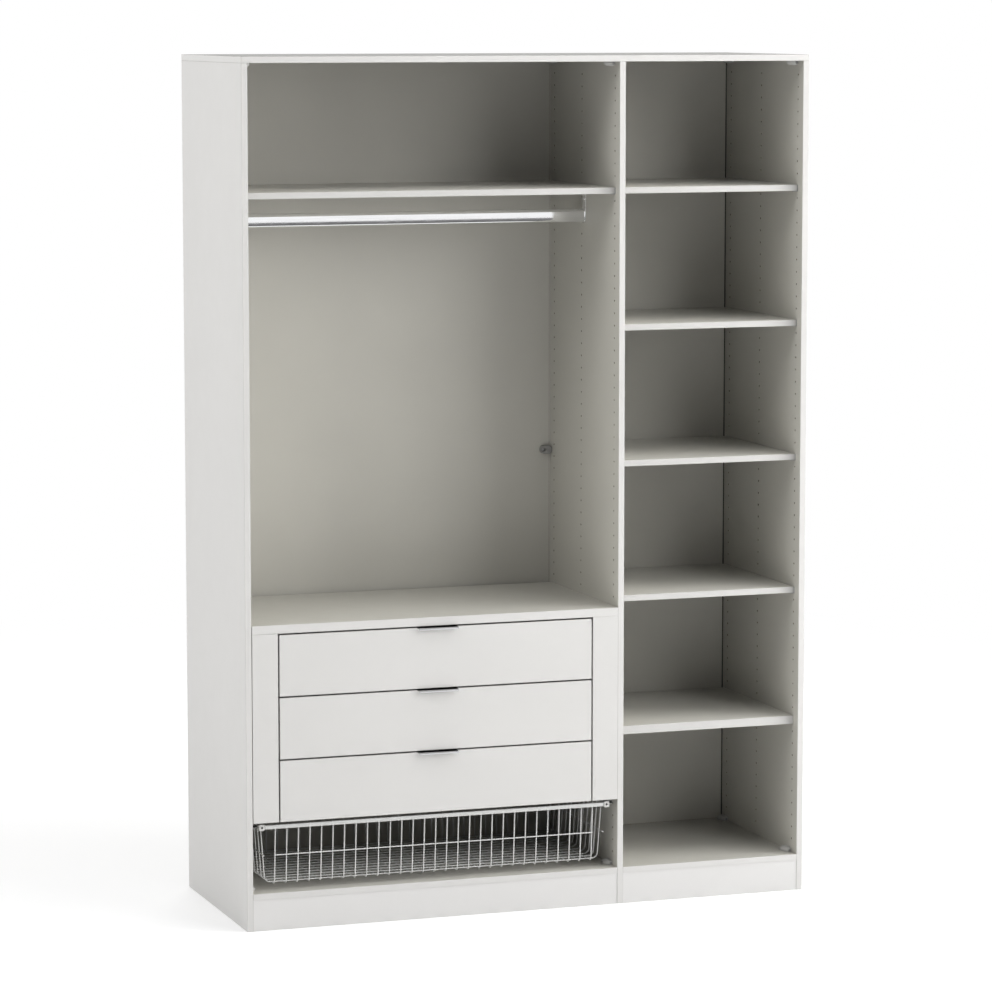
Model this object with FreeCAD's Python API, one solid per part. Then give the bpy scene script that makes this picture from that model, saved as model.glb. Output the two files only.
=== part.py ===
import FreeCAD, Part
import os
from math import acos, cos, pi, sin, tan

# Open-fronted wardrobe of white melamine board: a wide hanging bay on the left, with a drawer
# insert and a wire basket below, and a narrow shelf bay on the right.
# Millimetres. X runs to the right, Y from the front to the back and Z up from the floor.
# The origin lies on the floor, under the middle of the whole, handles included.

# Flats round the small pieces that repeat: wires and pins, then bosses and screw recesses
wire_sides = 8
boss_sides = 16

# Carcass
board = 16.0
heavy_board = 22.0
left_bay_width = 984.0
right_bay_width = 492.0
height = 2200.0
depth = 570.0
plinth_height = 96.0
plinth_setback = 1.0
back_thickness = 8.0
back_recess = 47.0
back_side_gap = 3.0

# Rows of holes and the shelves that hang in them
hole_diameter = 5.0
hole_web = 2.0
hole_pitch = 32.0
first_hole = 36.0
front_row = 34.0
rear_row = 31.0
shelf_lead = 4.0
shelf_rear_gap = 10.0
fixed_shelf_hole_number = 10
adjustable_shelves = 4

# Angle supports under the adjustable shelves
support_sheet = 1.5
support_width = 10.0
support_drop = 13.0
support_ledge = 12.0
support_play = 0.3
pin_play = 0.05
pin_end_gap = 0.5

# Plastic corner connectors and back panel clips
connector_reach = 25.0
connector_height = 14.0
connector_nose = 6.0
connector_length = 34.0
connector_boss = 10.0
connector_boss_height = 2.0
clip_width = 32.0
clip_reach = 24.0
clip_height = 26.0
clip_thickness = 8.0
clip_corner = 6.0
clip_bore = 10.0
clip_bore_floor = 3.0
clip_shelf_gap = 2.0

# Clothes rail, an oval tube pushed over the plugs of two end brackets
rail_height = 36.0
rail_width = 18.0
rail_wall = 1.5
rail_drop = 66.0
rail_play = 0.3
bracket_plate = 2.0
bracket_border = 2.0
bracket_tab = 24.0
bracket_top_gap = 0.5
plug_depth = 14.0

# Drawer insert
filler_width = 69.0
insert_side_gap = 1.5
drawer_count = 3
front_height = 156.5
front_gap = 4.0
basket_space = 181.0
insert_back_gap = 12.0
rear_rail_height = 100.0
spacer_size = 40.0
spacer_inset = 44.0
spacer_rear_inset = 67.0

# Drawer boxes
drawer_side = 12.0
drawer_side_height = 110.0
drawer_lift = 22.0
drawer_rear_gap = 21.0
bottom_thickness = 5.0
bottom_lift = 12.0
groove_depth = 6.0
groove_play = 0.2

# Drawer slides: a channel on the drawer runs inside a channel on the insert
slide_width = 12.7
slide_height = 35.0
slide_sheet = 1.5
slide_cover = 10.0
slide_play = 0.3
slide_side_play = 0.5

# Edge pulls hooked over the top of the drawer fronts
handle_width = 106.0
handle_projection = 14.0
handle_sheet = 2.0
handle_lip = 3.5
handle_tail = 14.0

# Wire basket
basket_setback = 10.0
basket_side_gap = 19.0
basket_top_gap = 8.5
basket_floor_gap = 19.0
basket_rear_gap = 80.0
wall_lean = 11.0
wire_diameter = 4.0
wire_pitch = 30.6
wire_rise = 1.5
long_wire_bend = 15.0
cross_wire_bend = 8.0
weld = 0.5
bar_height = 10.0
bar_thickness = 5.0
rim_diameter = 6.0
end_cap_width = 15.0
end_cap_height = 16.0
end_cap_lead = 1.0
end_cap_length = 16.0
runner_sheet = 1.5
runner_play = 0.3
runner_start = 10.0
runner_rear_gap = 40.0

# Places that follow from the sizes
total_width = 3 * board + left_bay_width + right_bay_width
front = -(depth - handle_projection) / 2
rear = front + depth
top_under = height - board
back_face = rear - back_recess - back_thickness
inner_depth = back_face - front
hole_depth = (board - hole_web) / 2

left_outer = -total_width / 2
left_bay = (left_outer + board, left_outer + board + left_bay_width)
partition = (left_bay[1], left_bay[1] + board)
right_bay = (partition[1], partition[1] + right_bay_width)
right_outer = right_bay[1] + board
bays = {"left": left_bay, "right": right_bay}
across = FreeCAD.Vector(1, 0, 0)
inwards = FreeCAD.Vector(0, 1, 0)


def block(x, y, z):
    """Box between a start and an end on each axis."""
    corner = FreeCAD.Vector(x[0], y[0], z[0])
    return Part.makeBox(x[1] - x[0], y[1] - y[0], z[1] - z[0], corner)


def rod(points, side, diameter, sides):
    """Many-sided rod through points in one plane, mitred at its bends; side is square to the plane."""
    ways = [(end - start).normalize() for start, end in zip(points, points[1:])]
    corner = diameter / 2 / cos(pi / sides)
    turns = [2 * pi * (step + 0.5) / sides for step in range(sides)]
    rings = []
    for point, before, after in zip(points, ways[:1] + ways, ways + ways[-1:]):
        square = side.cross(before)
        mitre = square + side.cross(after)
        mitre = mitre / mitre.dot(square)
        rings.append([point + side * (corner * cos(turn)) + mitre * (corner * sin(turn)) for turn in turns])
    outlines = [rings[0], rings[-1]]
    for low, high in zip(rings, rings[1:]):
        outlines += [[low[step - 1], low[step], high[step], high[step - 1]] for step in range(sides)]
    faces = [Part.Face(Part.makePolygon(outline + outline[:1])) for outline in outlines]
    return Part.makeSolid(Part.makeShell(faces))


def extruded(points, run):
    """Flat outline through the points, drawn out along a vector."""
    return Part.Face(Part.makePolygon(points + points[:1])).extrude(run)


def mirrored(shape, x):
    """The same shape on the other side of an upright plane across X."""
    return shape.mirror(FreeCAD.Vector(x, 0, 0), FreeCAD.Vector(1, 0, 0))


def save(node, *solids):
    """One file for one node; like pieces may share it."""
    shape = solids[0] if len(solids) == 1 else Part.makeCompound(list(solids))
    shape.exportStep(f"parts/{node}.step")


def hole_height(number):
    """Height of a hole of the rows, counted from the lowest."""
    return plinth_height + first_hole + number * hole_pitch


# Shelf heights, in whole steps of the rows
fixed_centre = hole_height(fixed_shelf_hole_number)
shelf_step = round((top_under - fixed_centre) / (adjustable_shelves + 1) / hole_pitch)
shelf_steps = [shelf_step * step for step in range(adjustable_shelves, 0, -1)]
shelf_holes = [fixed_shelf_hole_number + steps for steps in shelf_steps]
hat_hole = shelf_holes[0]
middle_shelf_under = hole_height(shelf_holes[adjustable_shelves // 2]) - support_drop
support_rows = (front + front_row, back_face - rear_row)
shelf_end_gap = support_sheet + support_play
shelf_span = (front + front_row - shelf_lead, back_face - shelf_rear_gap)


def drilled(panel, holes, x, way):
    """Panel with support holes drilled from its face at x; way is the X direction of the drill."""
    for number in holes:
        for y in support_rows:
            mouth = FreeCAD.Vector(x, y, hole_height(number))
            end = mouth + across * (way * hole_depth)
            panel = panel.cut(rod([mouth, end], inwards, hole_diameter, wire_sides))
    return panel


def build_carcass():
    """Sides, partition, top, bottoms, plinths and backs."""
    reach = (front, rear)
    upright = (0, top_under)
    side = block((left_outer, left_bay[0]), reach, upright)
    save("left_side_panel", drilled(side, [hat_hole], left_bay[0], -1))
    middle = drilled(block(partition, reach, upright), [hat_hole], partition[0], 1)
    save("centre_partition", drilled(middle, shelf_holes, partition[1], -1))
    side = block((right_bay[1], right_outer), reach, upright)
    save("right_side_panel", drilled(side, shelf_holes, right_bay[1], 1))
    save("top_panel", block((left_outer, right_outer), reach, (top_under, height)))

    # The bottoms show their front edges; the plinths stand below them, a little further in.
    under_bottom = plinth_height - board
    front_plinth = (front + plinth_setback, front + plinth_setback + board)
    rear_plinth = (back_face + back_thickness - board, back_face + back_thickness)
    for name, bay in bays.items():
        save(f"{name}_bottom_panel", block(bay, reach, (under_bottom, plinth_height)))
        save(f"{name}_front_plinth", block(bay, front_plinth, (0, under_bottom)))
        save(f"{name}_rear_plinth", block(bay, rear_plinth, (0, under_bottom)))
        width = (bay[0] + back_side_gap, bay[1] - back_side_gap)
        thickness = (back_face, back_face + back_thickness)
        save(f"{name}_back_panel", block(width, thickness, (plinth_height, top_under)))


def connector(x, way, z, up, y):
    """Wedge-nosed corner block with a round screw boss on its slope side."""
    outline = [
        FreeCAD.Vector(x, y, z),
        FreeCAD.Vector(x + way * connector_reach, y, z),
        FreeCAD.Vector(x + way * connector_reach, y, z + up * connector_nose),
        FreeCAD.Vector(x + way * connector_height, y, z + up * connector_height),
        FreeCAD.Vector(x, y, z + up * connector_height),
    ]
    body = extruded(outline, FreeCAD.Vector(0, connector_length, 0))
    seat = FreeCAD.Vector(x + way * connector_height / 2, y, z + up * connector_height / 2)
    boss = rod([seat, seat - inwards * connector_boss_height], across, connector_boss, boss_sides)
    return body.fuse(boss)


def clip(x, way, z):
    """Corner wedge between an upright and the back, rounded at its tip and sunk for a screw."""
    low = z - clip_height / 2
    outline = [
        FreeCAD.Vector(x, back_face, low),
        FreeCAD.Vector(x + way * clip_width, back_face, low),
        FreeCAD.Vector(x + way * clip_width, back_face - clip_thickness, low),
        FreeCAD.Vector(x + way * clip_thickness, back_face - clip_reach, low),
        FreeCAD.Vector(x, back_face - clip_reach, low),
    ]
    body = extruded(outline, FreeCAD.Vector(0, 0, clip_height))
    tip_edges = [
        edge
        for edge in body.Edges
        if edge.BoundBox.YLength > clip_thickness / 2
        and way * (edge.CenterOfMass.x - x) > clip_width - clip_thickness
    ]
    body = body.makeFillet(clip_corner, tip_edges)
    mouth = FreeCAD.Vector(x + way * (clip_width - clip_bore), back_face - clip_reach, z)
    floor = FreeCAD.Vector(mouth.x, back_face - clip_bore_floor, z)
    return body.cut(rod([mouth, floor], across, clip_bore, boss_sides))


def build_fittings():
    """Corner connectors in every corner of both bays, and the clips that hold the backs."""
    connectors = []
    clips = []
    rows = (front + front_row, back_face - shelf_rear_gap - connector_length)
    clip_levels = {
        "left": (plinth_height + top_under) / 2,
        "right": middle_shelf_under - clip_shelf_gap - clip_height / 2,
    }
    for name, bay in bays.items():
        for x, way in ((bay[0], 1), (bay[1], -1)):
            for z, up in ((plinth_height, 1), (top_under, -1)):
                connectors += [connector(x, way, z, up, y) for y in rows]
            clips.append(clip(x, way, clip_levels[name]))
    save("corner_connectors", *connectors)
    save("back_panel_clips", *clips)


def shelf_support(x, way, y, number):
    """Bent angle with a pin: the pin sits in a hole, the ledge carries the shelf."""
    z = hole_height(number)
    ledge_top = z - support_drop
    width = (y - support_width / 2, y + support_width / 2)
    leg = block(
        sorted((x, x + way * support_sheet)), width, (ledge_top - support_sheet, z + hole_diameter / 2)
    )
    ledge = block(
        sorted((x, x + way * support_ledge)), width, (ledge_top - support_sheet, ledge_top)
    )
    root = FreeCAD.Vector(x, y, z)
    tip = root - across * (way * (hole_depth - pin_end_gap))
    pin = rod([root, tip], inwards, hole_diameter - 2 * pin_play, wire_sides)
    return leg.fuse([ledge, pin]).removeSplitter()


def build_shelves():
    """Hat shelf and adjustable shelves on their supports, and the thicker fixed shelf."""
    places = {"hat_shelf": (left_bay, hat_hole)}
    for number, hole in enumerate(shelf_holes, 1):
        places[f"shelf_{number}"] = (right_bay, hole)
    supports = []
    for name, (bay, hole) in places.items():
        z = hole_height(hole) - support_drop
        save(name, block((bay[0] + shelf_end_gap, bay[1] - shelf_end_gap), shelf_span, (z, z + board)))
        for y in support_rows:
            supports.append(shelf_support(bay[0], 1, y, hole))
            supports.append(shelf_support(bay[1], -1, y, hole))
    save("shelf_supports", *supports)
    z = (fixed_centre - heavy_board / 2, fixed_centre + heavy_board / 2)
    save("fixed_shelf", block(right_bay, shelf_span, z))


def oval(width, tall, x, length, y, z):
    """Upright oval bar along X."""
    half = (tall - width) / 2
    middle = block((x, x + length), (y - width / 2, y + width / 2), (z - half, z + half))
    ends = [
        Part.makeCylinder(width / 2, length, FreeCAD.Vector(x, y, end), across)
        for end in (z - half, z + half)
    ]
    return middle.fuse(ends).removeSplitter()


def build_rail():
    """Oval clothes rail under the hat shelf, and the bracket with a plug at each end."""
    y = front + inner_depth / 2
    shelf_under = hole_height(hat_hole) - support_drop
    z = shelf_under - rail_drop
    start = left_bay[0] + bracket_plate
    length = left_bay_width - 2 * bracket_plate
    tube = oval(rail_width, rail_height, start, length, y, z)
    bore = oval(rail_width - 2 * rail_wall, rail_height - 2 * rail_wall, start, length, y, z)
    save("clothes_rail", tube.cut(bore))

    # The plate shows a narrow border round the tube and a tab up to the shelf.
    border = 2 * bracket_border
    plate = oval(rail_width + border, rail_height + border, left_bay[0], bracket_plate, y, z)
    tab = block(
        (left_bay[0], start),
        (y - bracket_tab / 2, y + bracket_tab / 2),
        (z, shelf_under - bracket_top_gap),
    )
    inset = 2 * (rail_wall + rail_play)
    plug = oval(rail_width - inset, rail_height - inset, start, plug_depth, y, z)
    bracket = plate.fuse([tab, plug]).removeSplitter()
    save("rail_brackets", bracket, mirrored(bracket, sum(left_bay) / 2))


# Levels and spans of the drawer insert
drawer_base = plinth_height + basket_space
drawer_pitch = front_height + front_gap
insert_under = drawer_base + drawer_count * drawer_pitch
insert_rear = back_face - insert_back_gap
insert_inside = (left_bay[0] + filler_width, left_bay[1] - filler_width)
insert_middle = sum(left_bay) / 2


def build_insert():
    """Heavy top, two hanging sides, rear rail, spacers and the filler strips beside the drawers."""
    slack_end = left_bay[0] + insert_side_gap
    heavy = (insert_under, insert_under + heavy_board)
    save("insert_top", block((slack_end, left_bay[1]), (front, insert_rear), heavy))
    sides = {
        "left": (insert_inside[0] - board, insert_inside[0]),
        "right": (insert_inside[1], insert_inside[1] + board),
    }
    fillers = {"left": (slack_end, insert_inside[0]), "right": (insert_inside[1], left_bay[1])}
    spacers = []
    spacer_rows = (front + board + spacer_inset, insert_rear - spacer_rear_inset)
    tall = (drawer_base, insert_under)
    for hand, width in sides.items():
        save(f"insert_{hand}_side", block(width, (front + board, insert_rear), tall))
        save(f"{hand}_filler", block(fillers[hand], (front, front + board), tall))
        hidden = (left_bay[0], width[0]) if hand == "left" else (width[1], left_bay[1])
        for y in spacer_rows:
            spacers.append(block(hidden, (y, y + spacer_size), (drawer_base, drawer_base + spacer_size)))
    save("insert_spacers", *spacers)
    rail_levels = (insert_under - rear_rail_height, insert_under)
    save("insert_rear_rail", block(insert_inside, (insert_rear - board, insert_rear), rail_levels))


def channel(x, way, reach, tall, y, z, sheet):
    """U channel along Y: its web stands at x, its flanges point along way."""
    low = z - tall / 2
    high = z + tall / 2
    outer = block(sorted((x, x + way * reach)), y, (low, high))
    inner = block(sorted((x + way * sheet, x + way * reach)), y, (low + sheet, high - sheet))
    return outer.cut(inner)


def build_drawer(number):
    """Front, edge pull, grooved sides, back, bottom and the moving slides of one drawer."""
    name = f"drawer_{number}"
    low = insert_under - number * drawer_pitch
    top = low + front_height
    face = (insert_inside[0] + front_gap, insert_inside[1] - front_gap)
    box = (insert_inside[0] + slide_width, insert_inside[1] - slide_width)
    inside = (box[0] + drawer_side, box[1] - drawer_side)
    behind = front + board
    end = insert_rear - board - drawer_rear_gap
    side_levels = (low + drawer_lift, low + drawer_lift + drawer_side_height)
    bottom_low = side_levels[0] + bottom_lift
    bottom_top = bottom_low + bottom_thickness

    # The bottom slides into grooves in the front and the sides, and the back stands on it.
    tongue = groove_depth - groove_play
    panel = block(
        (inside[0] - tongue, inside[1] + tongue), (behind - tongue, end), (bottom_low, bottom_top)
    )
    slot = block(
        (inside[0] - groove_depth, inside[1] + groove_depth),
        (behind - groove_depth, end),
        (bottom_low, bottom_top),
    )
    save(f"{name}_bottom", panel)
    save(f"{name}_front", block(face, (front, behind), (low, top)).cut(slot))
    save(f"{name}_left_side", block((box[0], inside[0]), (behind, end), side_levels).cut(slot))
    save(f"{name}_right_side", block((inside[1], box[1]), (behind, end), side_levels).cut(slot))
    save(f"{name}_back", block(inside, (end - drawer_side, end), (bottom_top, side_levels[1])))

    # Flat strip over the top edge, a lip in front of it and a tail behind the front.
    nose = front - handle_projection
    profile = [
        (nose, top + handle_sheet),
        (nose, top - handle_lip),
        (nose + handle_sheet, top - handle_lip),
        (nose + handle_sheet, top),
        (behind, top),
        (behind, top - handle_tail),
        (behind + handle_sheet, top - handle_tail),
        (behind + handle_sheet, top + handle_sheet),
    ]
    start = insert_middle - handle_width / 2
    points = [FreeCAD.Vector(start, y, z) for y, z in profile]
    save(f"{name}_handle", extruded(points, FreeCAD.Vector(handle_width, 0, 0)))

    run = (behind, end)
    level = sum(side_levels) / 2
    moving_height = slide_height - 2 * (slide_sheet + slide_play)
    moving_reach = slide_width - slide_sheet - slide_side_play
    moving = channel(box[0], -1, moving_reach, moving_height, run, level, slide_sheet)
    save(f"{name}_slides", moving, mirrored(moving, insert_middle))
    fixed = channel(insert_inside[0], 1, slide_cover, slide_height, run, level, slide_sheet)
    return [fixed, mirrored(fixed, insert_middle)]


# Lines of the wire basket
wire_radius = wire_diameter / 2
rim_radius = rim_diameter / 2
bar_face = front + basket_setback
bar_back = bar_face + bar_thickness
bar_top = drawer_base - basket_top_gap
rim_level = bar_top - bar_height / 2
wire_top = rim_level + wire_rise
cross_level = plinth_height + basket_floor_gap
long_level = cross_level + wire_diameter
cap_face = bar_face - end_cap_lead
cap_back = cap_face + end_cap_length
basket_ends = (left_bay[0] + basket_side_gap, left_bay[1] - basket_side_gap)
side_rim = basket_ends[0] + end_cap_width / 2
back_rim = back_face - basket_rear_gap
front_wire_top = bar_back + wire_radius - weld
back_wire_top = back_rim - rim_radius - wire_radius + weld
side_wire_top = side_rim + rim_radius + wire_radius - weld
mid_level = (wire_top + cross_level) / 2


def bent_wire(start, corner, end, bend, side):
    """Wire from start round a corner, bent in two steps about a radius; also gives where the bend ends."""
    fall = (corner - start).normalize()
    along = (end - corner).normalize()
    half_turn = acos(fall.dot(along)) / 2
    reach = bend * tan(half_turn)
    step = reach - bend * tan(half_turn / 2)
    foot = corner + along * reach
    points = [start, corner - fall * step, corner + along * step, foot]
    return rod(points, side, wire_diameter, wire_sides), foot


def evenly(span, pitch):
    """Places at a fixed pitch, centred in a span."""
    steps = int((span[1] - span[0]) / pitch)
    start = (sum(span) - steps * pitch) / 2
    return [start + step * pitch for step in range(steps + 1)]


def copies(shape, axis, places):
    """The same shape at several places along an axis, given as a unit vector."""
    moved = []
    for place in places:
        twin = shape.copy()
        twin.translate(axis * place)
        moved.append(twin)
    return moved


def lean_at(level, low):
    """How far a leaning wall wire has come in at a height; low is the level of its floor."""
    return wall_lean * (wire_top - level) / (wire_top - low)


def build_basket():
    """Wire walls welded to a flat front bar and round rims, over a mesh floor."""
    middle_y = (front_wire_top + back_wire_top) / 2

    # One wire of each wall, at X or Y zero, to be repeated along the wall.
    front_wire, front_foot = bent_wire(
        FreeCAD.Vector(0, front_wire_top, wire_top),
        FreeCAD.Vector(0, front_wire_top + wall_lean, cross_level),
        FreeCAD.Vector(0, middle_y, cross_level),
        cross_wire_bend,
        across,
    )
    back_wire, back_foot = bent_wire(
        FreeCAD.Vector(0, back_wire_top, wire_top),
        FreeCAD.Vector(0, back_wire_top - wall_lean, cross_level),
        FreeCAD.Vector(0, middle_y, cross_level),
        cross_wire_bend,
        across,
    )
    side_wire, side_foot = bent_wire(
        FreeCAD.Vector(side_wire_top, 0, wire_top),
        FreeCAD.Vector(side_wire_top + wall_lean, 0, long_level),
        FreeCAD.Vector(insert_middle, 0, long_level),
        long_wire_bend,
        inwards,
    )
    other_foot = 2 * insert_middle - side_foot.x
    columns = evenly((side_foot.x, other_foot), wire_pitch)
    rows = evenly((front_foot.y, back_foot.y), wire_pitch)

    # Front: flat bar between the end caps, upright wires and one wire across their outside.
    bar = block(
        (basket_ends[0] + end_cap_width, basket_ends[1] - end_cap_width),
        (bar_face, bar_back),
        (bar_top - bar_height, bar_top),
    )
    mid_y = front_wire_top + lean_at(mid_level, cross_level) - wire_diameter + weld
    mid_ends = [FreeCAD.Vector(x, mid_y, mid_level) for x in (columns[0], columns[-1])]
    mid_wire = rod(mid_ends, inwards, wire_diameter, wire_sides)
    save("basket_front_panel", bar.multiFuse(copies(front_wire, across, columns) + [mid_wire]))

    # Back: round rim between the side rims, upright wires inside it.
    rim_ends = [side_rim + rim_radius, 2 * insert_middle - side_rim - rim_radius]
    rim_ends = [FreeCAD.Vector(x, back_rim, rim_level) for x in rim_ends]
    rim = rod(rim_ends, inwards, rim_diameter, wire_sides)
    save("basket_back_panel", rim.multiFuse(copies(back_wire, across, columns)))

    # Sides: round rim from the end cap to the back, wires inside it, one wire along their outside.
    rim_ends = [FreeCAD.Vector(side_rim, y, rim_level) for y in (cap_back, back_rim + rim_radius)]
    rim = rod(rim_ends, across, rim_diameter, wire_sides)
    mid_x = side_wire_top + lean_at(mid_level, long_level) - wire_diameter + weld
    mid_ends = [FreeCAD.Vector(mid_x, y, mid_level) for y in (mid_y, rows[-1] + wire_diameter)]
    mid_wire = rod(mid_ends, across, wire_diameter, wire_sides)
    side = rim.multiFuse(copies(side_wire, inwards, rows) + [mid_wire])
    save("basket_left_panel", side)
    save("basket_right_panel", mirrored(side, insert_middle))

    # Floor: long wires lie on the cross wires, each meeting its bent end at the wall.
    cross = rod([front_foot, back_foot], across, wire_diameter, wire_sides)
    other_end = FreeCAD.Vector(other_foot, 0, long_level)
    long = rod([side_foot, other_end], inwards, wire_diameter, wire_sides)
    save("basket_floor_wires", *copies(cross, across, columns), *copies(long, inwards, rows))

    # End caps join the bar to the side rims.
    cap = block(
        (basket_ends[0], basket_ends[0] + end_cap_width),
        (cap_face, cap_back),
        (rim_level - end_cap_height / 2, rim_level + end_cap_height / 2),
    )
    save("basket_end_caps", cap, mirrored(cap, insert_middle))

    # Runner channels on the side panel and the partition, each holding a side rim.
    runner_height = rim_diameter + 2 * (runner_play + runner_sheet)
    runner_reach = side_rim + rim_radius / 2 - left_bay[0]
    runner_run = (cap_back + runner_start, back_face - runner_rear_gap)
    runner = channel(left_bay[0], 1, runner_reach, runner_height, runner_run, rim_level, runner_sheet)
    save("basket_runners", runner, mirrored(runner, insert_middle))


os.makedirs("parts", exist_ok=True)
build_carcass()
build_fittings()
build_shelves()
build_rail()
build_insert()
fixed_slides = []
for drawer in range(1, drawer_count + 1):
    fixed_slides += build_drawer(drawer)
save("drawer_slide_channels", *fixed_slides)
build_basket()
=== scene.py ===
from math import cos, pi, radians, sin, tan

import bmesh
import bpy
from mathutils import Matrix, Vector


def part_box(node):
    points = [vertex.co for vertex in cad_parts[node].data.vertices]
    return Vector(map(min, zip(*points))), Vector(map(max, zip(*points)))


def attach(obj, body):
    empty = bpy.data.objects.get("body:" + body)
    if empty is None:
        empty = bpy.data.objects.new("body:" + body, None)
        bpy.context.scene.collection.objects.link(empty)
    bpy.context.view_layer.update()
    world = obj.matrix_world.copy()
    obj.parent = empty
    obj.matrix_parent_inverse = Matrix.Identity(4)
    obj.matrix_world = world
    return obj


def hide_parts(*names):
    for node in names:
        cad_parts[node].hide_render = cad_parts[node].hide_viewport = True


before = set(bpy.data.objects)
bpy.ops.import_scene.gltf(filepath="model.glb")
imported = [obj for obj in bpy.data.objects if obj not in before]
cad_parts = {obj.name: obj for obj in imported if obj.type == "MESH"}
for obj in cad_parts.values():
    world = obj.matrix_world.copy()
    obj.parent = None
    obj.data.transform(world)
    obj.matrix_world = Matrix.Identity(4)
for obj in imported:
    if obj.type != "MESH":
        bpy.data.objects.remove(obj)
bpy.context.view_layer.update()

# Uprights: the two sides and the partition, 16 mm chipboard pressed between white melamine film,
# with a thin plastic band glued along the cut edges. Rows of 5 mm pin holes, 32 mm apart, are drilled
# into the inner faces; hidden dowels hold the boards to the top and the bottoms.
board_white = (0.755, 0.745, 0.725, 1)
# Painted light: the inner faces take a warmer copy of the white film, a tint of light bounced inside the
# bays.
inner_bounce_white = (0.76, 0.742, 0.675, 1)
band_white = (0.76, 0.75, 0.73, 1)
joint_grey = (0.70, 0.69, 0.665, 1)
core_brown = (0.30, 0.22, 0.14, 1)
cloud_scale, rub_scale = 4.5, 21.0
speck_shade, gloss_swing = 0.985, 0.05
arris, arris_turn = 0.0007, 1.0
square_on = 0.99
film_face, band_face, joint_face, core_face, inner_face = range(5)
hole_radius, hole_depth, hole_sides = 0.0025, 0.007, 12
hole_pitch, hole_count, first_hole = 0.032, 64, 0.132
hole_columns = (-0.244, -0.002, 0.206)


def add(tree, kind, inputs=(), **settings):
    """One shader node with its settings; an input takes a value or another node's socket."""
    node = tree.nodes.new("ShaderNode" + kind)
    for name, value in settings.items():
        setattr(node, name, value)
    for key, value in dict(inputs).items():
        if isinstance(value, bpy.types.NodeSocket):
            tree.links.new(value, node.inputs[key])
        else:
            node.inputs[key].default_value = value
    return node


def noise(tree, place, scale, detail, roughness=0.5):
    """Cloudy value over the piece."""
    inputs = {"Vector": place, "Scale": scale, "Detail": detail, "Roughness": roughness}
    return add(tree, "TexNoise", inputs).outputs["Fac"]


def ranged(tree, value, low, high, start=0.3, end=0.7):
    """Value that runs from low to high while the given one runs from start to end."""
    inputs = {"Value": value, "From Min": start, "From Max": end, "To Min": low, "To Max": high}
    return add(tree, "MapRange", inputs).outputs[0]


def combine(tree, operation, first, second):
    """One value worked out from two."""
    return add(tree, "Math", {0: first, 1: second}, operation=operation).outputs[0]


def shaded(tree, colour, shade):
    """Colour multiplied by a shade from 0 to 1."""
    factor, first, second, result = 0, 6, 7, 2
    inputs = {factor: 1.0, first: colour, second: shade}
    return add(tree, "Mix", inputs, data_type="RGBA", blend_type="MULTIPLY").outputs[result]


def effect(name, **inputs):
    """Empty node group: a colour and values go in; colour, roughness and height come out."""
    tree = bpy.data.node_groups.new(name, "ShaderNodeTree")
    for label, value in inputs.items():
        kind = "NodeSocketColor" if label == "Colour" else "NodeSocketFloat"
        tree.interface.new_socket(label, in_out="INPUT", socket_type=kind).default_value = value
    tree.interface.new_socket("Colour", in_out="OUTPUT", socket_type="NodeSocketColor")
    for label in ("Roughness", "Height"):
        tree.interface.new_socket(label, in_out="OUTPUT", socket_type="NodeSocketFloat")
    return tree, tree.nodes.new("NodeGroupInput").outputs, tree.nodes.new("NodeGroupOutput").inputs


def put_out(tree, out, colour, roughness, height):
    """Ends an effect with its three results."""
    for label, value in (("Colour", colour), ("Roughness", roughness), ("Height", height)):
        tree.links.new(value, out[label])


def finish(name, group, values, bump=0.0001, strength=0.3, **constants):
    """Material of one finish: a placed effect drives colour, roughness and bump, the rest is constant."""
    material = bpy.data.materials.new(name)
    material.use_nodes = True
    tree = material.node_tree
    shader = tree.nodes["Principled BSDF"]
    placed = add(tree, "Group", values, node_tree=group).outputs
    relief = add(tree, "Bump", {"Height": placed["Height"], "Distance": bump, "Strength": strength})
    tree.links.new(placed["Colour"], shader.inputs["Base Color"])
    tree.links.new(placed["Roughness"], shader.inputs["Roughness"])
    tree.links.new(relief.outputs["Normal"], shader.inputs["Normal"])
    for label, value in constants.items():
        shader.inputs[label.replace("_", " ")].default_value = value
    return material


# Pressed film: a fine pearl grain, a faint cloudiness of the white and rubbed patches in the gloss.
film_grain, given, out = effect("film_grain", Colour=board_white, Roughness=0.4, Grain=1400.0, Cloud=0.03)
place = add(film_grain, "TexCoord").outputs["Object"]
pearl = noise(film_grain, place, given["Grain"], detail=3.0)
clouds = noise(film_grain, place, cloud_scale, detail=4.0)
rubbed = noise(film_grain, place, rub_scale, detail=5.0, roughness=0.6)
darkest = combine(film_grain, "SUBTRACT", 1.0, given["Cloud"])
shade = ranged(film_grain, clouds, darkest, 1.0)
shade = combine(film_grain, "MULTIPLY", shade, ranged(film_grain, pearl, speck_shade, 1.0))
gloss = ranged(film_grain, rubbed, -gloss_swing, gloss_swing)
gloss = combine(film_grain, "ADD", gloss, given["Roughness"])
put_out(film_grain, out, shaded(film_grain, given["Colour"], shade), gloss, pearl)


def film(name, colour, roughness, grain, cloud, **constants):
    """Finish of film, foil, band, bare board or foam, all with a fine grain."""
    values = {"Colour": colour, "Roughness": roughness, "Grain": grain, "Cloud": cloud}
    return finish(name, film_grain, values, **constants)


white_film = film("white_film", board_white, roughness=0.42, grain=1400.0, cloud=0.02)
edge_band = film("edge_band", band_white, roughness=0.34, grain=700.0, cloud=0.03)
band_joint = film("band_joint", joint_grey, roughness=0.5, grain=500.0, cloud=0.12)
bare_core = film("bare_core", core_brown, roughness=0.85, grain=650.0, cloud=0.5)
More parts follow.
